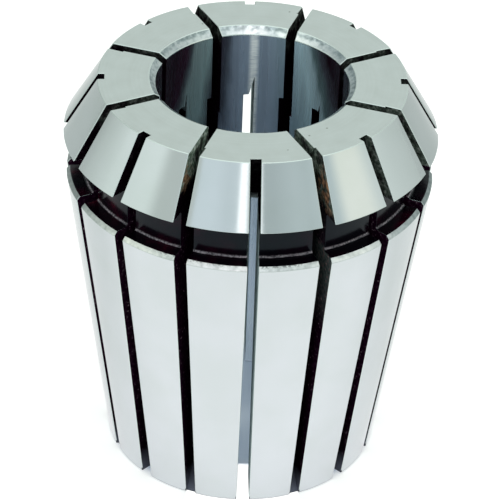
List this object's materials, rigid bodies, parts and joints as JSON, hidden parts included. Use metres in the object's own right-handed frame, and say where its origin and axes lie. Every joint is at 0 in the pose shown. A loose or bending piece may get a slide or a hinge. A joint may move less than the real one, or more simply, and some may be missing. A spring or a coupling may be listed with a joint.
{
  "type": "spring collet",
  "caption": "Slit spring collet with a long 8 degree tapered body, a nut groove, a short 30 degree nose cone and a round through bore; the wall is slit from both ends.",
  "frame": {"origin": "on the bore axis, in the plane of the tail end that the collet stands on", "axes": "+Z along the bore axis from the tail to the nose; a tail slit lies on -Y"},
  "size_m": [0.0408, 0.0408, 0.046],
  "materials": {
    "ground_steel": "fine ground and turned, edges lightly broken"
  },
  "bodies": {
    "root": {"collet": "ground_steel"}
  },
  "joints": []
}
